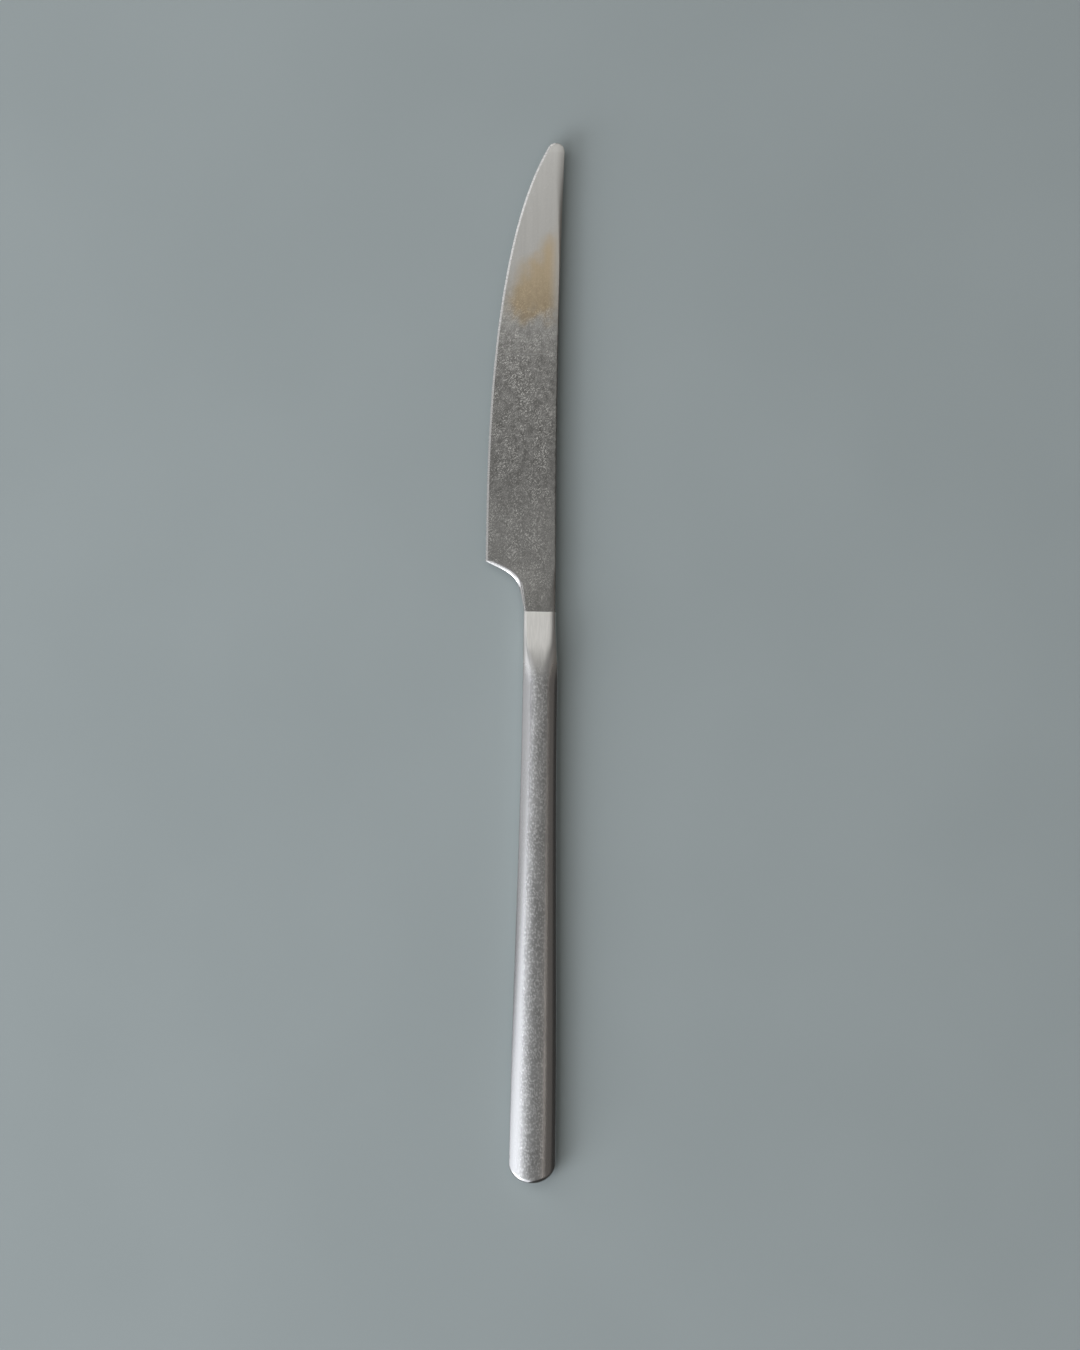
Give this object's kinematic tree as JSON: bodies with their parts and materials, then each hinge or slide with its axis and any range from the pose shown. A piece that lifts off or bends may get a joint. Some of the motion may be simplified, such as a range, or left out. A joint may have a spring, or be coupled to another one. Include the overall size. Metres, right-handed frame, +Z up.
{
  "type": "table knife",
  "caption": "Slim table knife in tumbled stainless steel: curved blade with a scooped heel, flat neck ramping up to a hollow bar handle that widens to a rounded butt.",
  "frame": {"origin": "middle of the knife's footprint on the table it lies on", "axes": "+Y along the handle's centre line towards the tip, +X towards the spine of the blade, +Z up from the table, square to the blade"},
  "size_m": [0.018, 0.235, 0.0052],
  "materials": {
    "blade_steel": "tumbled stainless steel, satin towards the tip",
    "handle_steel": "tumbled stainless steel",
    "braze": "braze ground flush and tumbled with the steel",
    "cement": "set mineral cement, rough"
  },
  "bodies": {
    "root": {"blade": "blade_steel", "handle_upper_shell": "handle_steel", "handle_lower_shell": "handle_steel", "seam_braze": "braze", "neck_braze": "braze", "tang_cement": "cement"}
  },
  "joints": []
}
